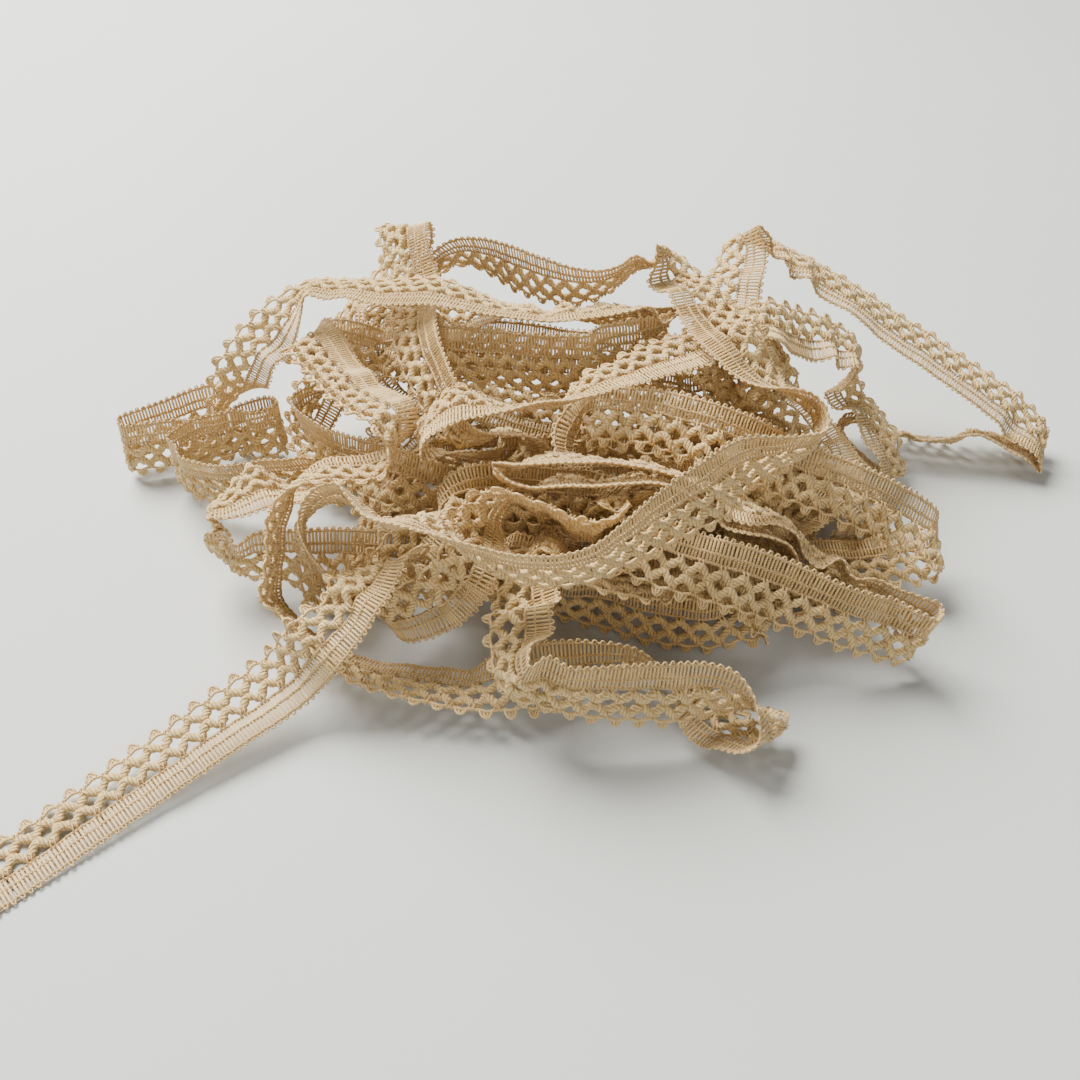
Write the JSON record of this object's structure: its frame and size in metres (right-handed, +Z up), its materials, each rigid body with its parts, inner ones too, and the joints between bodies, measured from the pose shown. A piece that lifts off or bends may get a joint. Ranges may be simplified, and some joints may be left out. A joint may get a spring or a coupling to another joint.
{
  "type": "lace trim",
  "caption": "Length of narrow cotton lace trim, straight on one edge and picot on the other, lying in a loose heap of loops with one end trailing out flat.",
  "frame": {"origin": "bottom centre of the bounding box, on the surface the heap lies on", "axes": "+Z is up, away from that surface. +X is along the longest side of the heap: the trailing end leaves towards -X and -Y, and the long round loop is at +X. -Y is the side that the picture is taken from."},
  "size_m": [0.2042, 0.1434, 0.0483],
  "materials": {
    "cotton_lace": "matt natural cotton thread"
  },
  "bodies": {
    "root": {"lace_trim": "cotton_lace"}
  },
  "joints": []
}
